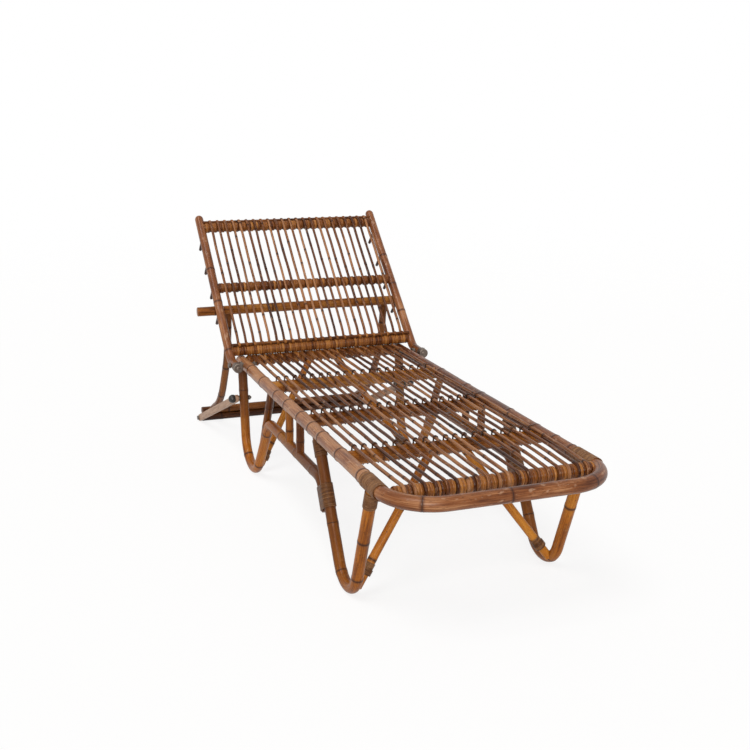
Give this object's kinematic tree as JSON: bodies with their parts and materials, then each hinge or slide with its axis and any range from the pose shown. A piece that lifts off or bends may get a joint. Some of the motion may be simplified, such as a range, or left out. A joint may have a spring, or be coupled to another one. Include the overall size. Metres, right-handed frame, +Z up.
{
  "type": "rattan chaise longue",
  "caption": "Rattan chaise longue: slatted seat on bent-pole legs, hinged slatted backrest leaning on a pegged rear prop frame with a floor bar.",
  "frame": {"origin": "middle of the chaise's bounding box, on the floor", "axes": "+Z up, +Y from the foot hoop to the backrest and prop, +X to the right seen from the foot end"},
  "size_m": [0.712, 1.8234, 0.7506],
  "materials": {
    "rattan_pole": "satin lacquer",
    "cane_slats": "satin lacquer",
    "wound_cane": "satin lacquer",
    "binding_cane": "satin lacquer",
    "peg_wood": "matt stain",
    "link_wood": "worn, matt",
    "knob_black": "satin",
    "cap_steel": "dull",
    "bolt_steel": "dull"
  },
  "bodies": {
    "seat_frame": {"brace_bindings": "binding_cane", "cross_rail_front": "rattan_pole", "cross_rail_middle": "rattan_pole", "cross_rail_rear": "rattan_pole", "elbow_strut_left": "rattan_pole", "elbow_strut_right": "rattan_pole", "foot_hoop": "rattan_pole", "foot_rail": "rattan_pole", "foot_rail_wrapping": "wound_cane", "front_brace_left": "rattan_pole", "front_brace_right": "rattan_pole", "front_leg_left": "rattan_pole", "front_leg_right": "rattan_pole", "head_rail": "rattan_pole", "head_rail_wrapping": "wound_cane", "hinge_bolt_left": "bolt_steel", "hinge_bolt_right": "bolt_steel", "hinge_nuts": "bolt_steel", "hinge_washers": "bolt_steel", "link_bolt_left": "bolt_steel", "link_bolt_right": "bolt_steel", "link_knob_left": "knob_black", "link_knob_right": "knob_black", "link_nuts": "bolt_steel", "link_washers": "bolt_steel", "post_front_left": "rattan_pole", "post_front_right": "rattan_pole", "post_rear_left": "rattan_pole", "post_rear_right": "rattan_pole", "rear_brace_left": "rattan_pole", "rear_brace_right": "rattan_pole", "rear_leg_left": "rattan_pole", "rear_leg_right": "rattan_pole", "seat_slat_ties": "binding_cane", "seat_slats": "cane_slats", "side_rail_left": "rattan_pole", "side_rail_right": "rattan_pole", "stretcher_bindings": "binding_cane", "strut_bindings": "binding_cane"},
    "backrest": {"back_lower_bar": "rattan_pole", "back_lower_wrapping": "wound_cane", "back_middle_bar": "rattan_pole", "back_middle_wrapping": "wound_cane", "back_pole_left": "rattan_pole", "back_pole_right": "rattan_pole", "back_slats": "cane_slats", "back_top_bar": "rattan_pole", "back_top_wrapping": "wound_cane", "pole_cap_left": "cap_steel", "pole_cap_right": "cap_steel", "prop_pegs_left": "peg_wood", "prop_pegs_right": "peg_wood"},
    "links": {"prop_link_left": "link_wood", "prop_link_right": "link_wood"},
    "prop": {"prop_foot_bar": "rattan_pole", "prop_pivot_pins": "bolt_steel", "prop_top_bar": "rattan_pole", "prop_upper_foot_bar": "rattan_pole", "prop_upright_left": "rattan_pole", "prop_upright_right": "rattan_pole"}
  },
  "joints": [
    {"name": "backrest_fold", "type": "hinge", "parent": "seat_frame", "child": "backrest", "pos_m": [0.022, 0.36875, 0.338], "axis": [1, 0, 0], "range_deg": [0, 130]},
    {"name": "link_swing", "type": "hinge", "parent": "seat_frame", "child": "links", "pos_m": [0.022, 0.42733, 0.212], "axis": [1, 0, 0], "range_deg": [0, 11]},
    {"name": "prop_swing", "type": "hinge", "parent": "links", "child": "prop", "pos_m": [0.022, 0.89875, 0.0125], "axis": [-1, 0, 0], "range_deg": [0, 88]}
  ],
  "couplings": [
    {"joint": "prop_swing", "follows": "backrest_fold", "ratio": 0.66},
    {"joint": "link_swing", "follows": "backrest_fold", "ratio": 0.08}
  ]
}
